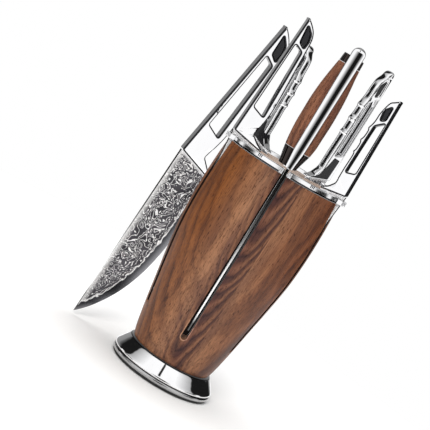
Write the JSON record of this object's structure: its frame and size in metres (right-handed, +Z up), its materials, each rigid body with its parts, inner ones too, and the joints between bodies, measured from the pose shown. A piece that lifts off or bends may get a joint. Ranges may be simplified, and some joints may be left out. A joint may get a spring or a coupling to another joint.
{
  "type": "knife block with knives",
  "caption": "Round swivelling wooden knife block with radial open slots, a metal cap and base, open-handled kitchen knives and a chef's knife standing beside it.",
  "frame": {"origin": "centre of the round rubber pad's underside, on the table, on the swivel axis", "axes": "+Z up along the swivel axis; -Y is the front, where the wood-handled knife sits; +X is the right as seen from the front"},
  "size_m": [0.1494, 0.119, 0.3213],
  "materials": {
    "rubber": "matte black rubber sheet",
    "dark_chrome": "polished dark chrome",
    "chrome": "mirror polished chrome",
    "steel": "bright turned steel",
    "blade_steel": "satin layered blade steel",
    "walnut": "oiled reddish brown walnut",
    "pale_walnut": "pale end grain, oiled",
    "black_inlay": "black resin inlay"
  },
  "bodies": {
    "foot": {"foot_pad": "rubber", "foot_plate": "dark_chrome", "lower_race": "steel", "ball_cage": "steel", "swivel_bolt": "steel", "swivel_washer": "steel", "swivel_nut": "steel"},
    "block": {"upper_race": "steel", "base_skirt": "chrome", "base_screw_1": "steel", "base_screw_2": "steel", "base_screw_3": "steel", "base_screw_4": "steel", "block_body": "walnut", "top_cap": "chrome", "top_inlay": "pale_walnut"},
    "chef_knife": {"chef_knife_blade": "blade_steel", "chef_knife_handle": "chrome", "chef_knife_pommel_inlay": "black_inlay"},
    "left_knife": {"left_knife_blade": "blade_steel", "left_knife_handle": "chrome", "left_knife_pommel_inlay": "black_inlay"},
    "right_knife": {"right_knife_blade": "blade_steel", "right_knife_handle": "chrome", "right_knife_pommel_inlay": "black_inlay"},
    "back_left_knife": {"back_left_knife_blade": "blade_steel", "back_left_knife_handle": "chrome", "back_left_knife_pommel_inlay": "black_inlay"},
    "back_right_knife": {"back_right_knife_blade": "blade_steel", "back_right_knife_handle": "chrome", "back_right_knife_pommel_inlay": "black_inlay"},
    "front_knife": {"front_knife_blade": "blade_steel", "front_knife_core": "chrome", "front_knife_scale_left": "walnut", "front_knife_scale_right": "walnut", "front_knife_bolster_left": "chrome", "front_knife_bolster_right": "chrome", "front_knife_end_cap_left": "chrome", "front_knife_end_cap_right": "chrome", "front_knife_pin_lower": "steel", "front_knife_pin_upper": "steel"}
  },
  "joints": [
    {"name": "block_swivel", "type": "hinge", "parent": "foot", "child": "block", "pos_m": [0, 0, 0.0124], "axis": [0, 0, 1], "continuous": true},
    {"name": "left_knife_pull", "type": "slide", "parent": "block", "child": "left_knife", "axis": [-0.0829, -0.0269, 0.9962], "range_m": [0, 0.165]},
    {"name": "right_knife_pull", "type": "slide", "parent": "block", "child": "right_knife", "axis": [0.0829, -0.0269, 0.9962], "range_m": [0, 0.11]},
    {"name": "back_left_knife_pull", "type": "slide", "parent": "block", "child": "back_left_knife", "axis": [-0.056, 0.0668, 0.9962], "range_m": [0, 0.145]},
    {"name": "back_right_knife_pull", "type": "slide", "parent": "block", "child": "back_right_knife", "axis": [0.056, 0.0668, 0.9962], "range_m": [0, 0.16]},
    {"name": "front_knife_pull", "type": "slide", "parent": "block", "child": "front_knife", "axis": [0, -0.0872, 0.9962], "range_m": [0, 0.16]},
    {"name": "chef_knife_lift", "type": "slide", "parent": "foot", "child": "chef_knife", "axis": [0, 0, 1], "range_m": [0, 0.25]}
  ]
}
